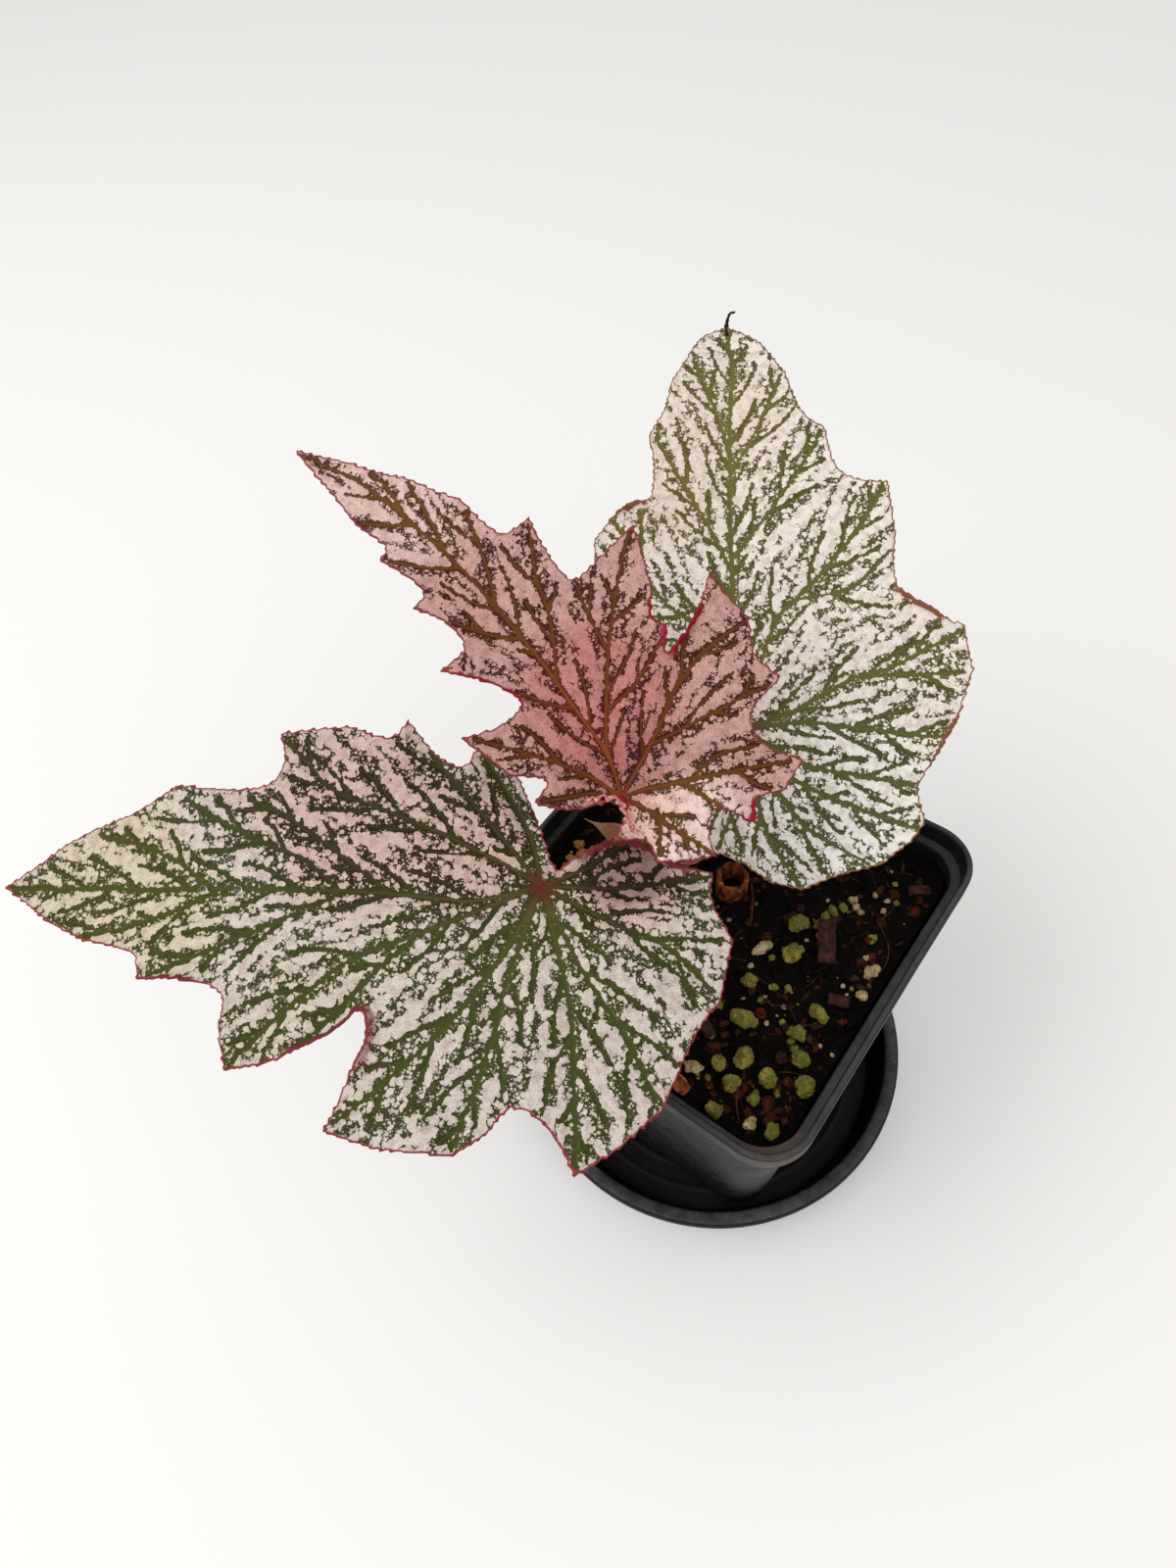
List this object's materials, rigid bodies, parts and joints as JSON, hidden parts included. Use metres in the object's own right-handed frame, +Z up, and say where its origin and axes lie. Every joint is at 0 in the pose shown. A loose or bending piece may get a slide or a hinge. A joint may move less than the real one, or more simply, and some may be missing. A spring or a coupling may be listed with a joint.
{
  "type": "potted begonia",
  "caption": "Young painted-leaf begonia with three lobed, silver-splashed leaves in a square black nursery pot on a round saucer.",
  "frame": {"origin": "centre of the saucer's underside, on the surface it stands on", "axes": "+Z up; X and Y along the sides of the square pot, with the long front leaf reaching towards -X and -Y"},
  "size_m": [0.1746, 0.2181, 0.1976],
  "materials": {
    "saucer": "satin moulded plastic, dark grey",
    "pot": "satin moulded plastic, charcoal black",
    "soil": "moist dark peat with coir, crumbly and matt",
    "stalk": "living stalk, olive green with red specks, satin",
    "dry_stem": "dried stem and husk, orange tan, rough",
    "bract": "papery bract, pinkish tan, thin",
    "grain": "perlite and vermiculite grains under yellow-green algae, rough",
    "bark": "dark red-brown bark, rough",
    "leaf_front": "leaf, dark green with pinkish silver splashes, satin; maroon below",
    "leaf_middle": "young leaf, pink silver with olive-brown veins, satin; red below",
    "leaf_back": "leaf, green with whitish silver splashes, satin; maroon below"
  },
  "bodies": {
    "root": {"saucer": "saucer", "pot": "pot", "soil": "soil", "stem": "stalk", "dried_stem_stub": "dry_stem", "leaf_stalk_front": "stalk", "leaf_stalk_middle": "stalk", "leaf_stalk_back": "stalk", "leaf_front": "leaf_front", "leaf_middle": "leaf_middle", "leaf_back": "leaf_back", "stipule_upper": "bract", "stipule_lower": "bract", "curled_husk": "dry_stem", "bark_chip_1": "bark", "bark_chip_2": "bark", "bark_chip_3": "bark", "bark_chip_4": "bark", "grain_01": "grain", "grain_02": "grain", "grain_03": "grain", "grain_04": "grain", "grain_05": "grain", "grain_06": "grain", "grain_07": "grain", "grain_08": "grain", "grain_09": "grain", "grain_10": "grain", "grain_11": "grain", "grain_12": "grain", "grain_13": "grain", "grain_14": "grain", "grain_15": "grain", "grain_16": "grain", "grain_17": "grain", "grain_18": "grain", "grain_19": "grain", "grain_20": "grain"}
  },
  "joints": []
}
